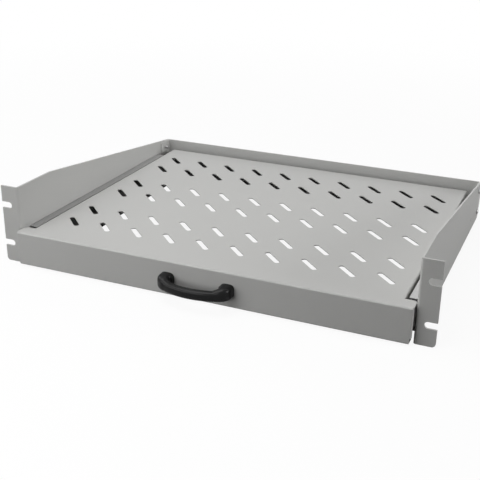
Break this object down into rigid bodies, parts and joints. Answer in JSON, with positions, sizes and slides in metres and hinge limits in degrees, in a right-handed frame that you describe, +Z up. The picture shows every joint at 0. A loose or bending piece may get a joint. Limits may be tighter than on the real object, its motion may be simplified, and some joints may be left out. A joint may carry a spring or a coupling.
{
  "type": "rack shelf",
  "caption": "Pull-out rack shelf: slotted tray with a folded front panel and bow handle, running on ball-bearing slides between two eared side brackets.",
  "frame": {"origin": "middle of the ears' notches, on the ears' rear faces, where the shelf meets the rack posts", "axes": "+X to the right seen from the front, +Y to the back of the rack, +Z up"},
  "size_m": [0.4826, 0.3854, 0.0882],
  "materials": {
    "grey_paint": "satin",
    "zinc_steel": "zinc plated",
    "ball_steel": "polished",
    "black_plastic": "satin"
  },
  "bodies": {
    "frame": {"left_side_bracket": "grey_paint", "right_side_bracket": "grey_paint", "rear_rail": "grey_paint", "rear_rail_screws": "zinc_steel", "bracket_slide_screws": "zinc_steel", "left_slide_outer": "zinc_steel", "right_slide_outer": "zinc_steel", "left_slide_stop": "black_plastic", "right_slide_stop": "black_plastic"},
    "tray": {"tray": "grey_paint", "handle": "black_plastic", "handle_screws": "zinc_steel", "tray_slide_screws": "zinc_steel", "left_slide_inner": "zinc_steel", "right_slide_inner": "zinc_steel"},
    "left_middle": {"left_slide_middle": "zinc_steel"},
    "left_outer_cage": {"left_outer_cage": "zinc_steel", "left_outer_balls": "ball_steel"},
    "left_inner_cage": {"left_inner_cage": "zinc_steel", "left_inner_balls": "ball_steel"},
    "right_middle": {"right_slide_middle": "zinc_steel"},
    "right_outer_cage": {"right_outer_cage": "zinc_steel", "right_outer_balls": "ball_steel"},
    "right_inner_cage": {"right_inner_cage": "zinc_steel", "right_inner_balls": "ball_steel"}
  },
  "joints": [
    {"name": "tray_slide", "type": "slide", "parent": "frame", "child": "tray", "axis": [0, -1, 0], "range_m": [0, 0.29]},
    {"name": "left_middle_slide", "type": "slide", "parent": "frame", "child": "left_middle", "axis": [0, -1, 0], "range_m": [0, 0.145]},
    {"name": "left_outer_cage_slide", "type": "slide", "parent": "frame", "child": "left_outer_cage", "axis": [0, -1, 0], "range_m": [0, 0.0725]},
    {"name": "left_inner_cage_slide", "type": "slide", "parent": "frame", "child": "left_inner_cage", "axis": [0, -1, 0], "range_m": [0, 0.2175]},
    {"name": "right_middle_slide", "type": "slide", "parent": "frame", "child": "right_middle", "axis": [0, -1, 0], "range_m": [0, 0.145]},
    {"name": "right_outer_cage_slide", "type": "slide", "parent": "frame", "child": "right_outer_cage", "axis": [0, -1, 0], "range_m": [0, 0.0725]},
    {"name": "right_inner_cage_slide", "type": "slide", "parent": "frame", "child": "right_inner_cage", "axis": [0, -1, 0], "range_m": [0, 0.2175]}
  ],
  "couplings": [
    {"joint": "left_middle_slide", "follows": "tray_slide", "ratio": 0.5},
    {"joint": "left_outer_cage_slide", "follows": "tray_slide", "ratio": 0.25},
    {"joint": "left_inner_cage_slide", "follows": "tray_slide", "ratio": 0.75},
    {"joint": "right_middle_slide", "follows": "tray_slide", "ratio": 0.5},
    {"joint": "right_outer_cage_slide", "follows": "tray_slide", "ratio": 0.25},
    {"joint": "right_inner_cage_slide", "follows": "tray_slide", "ratio": 0.75}
  ]
}
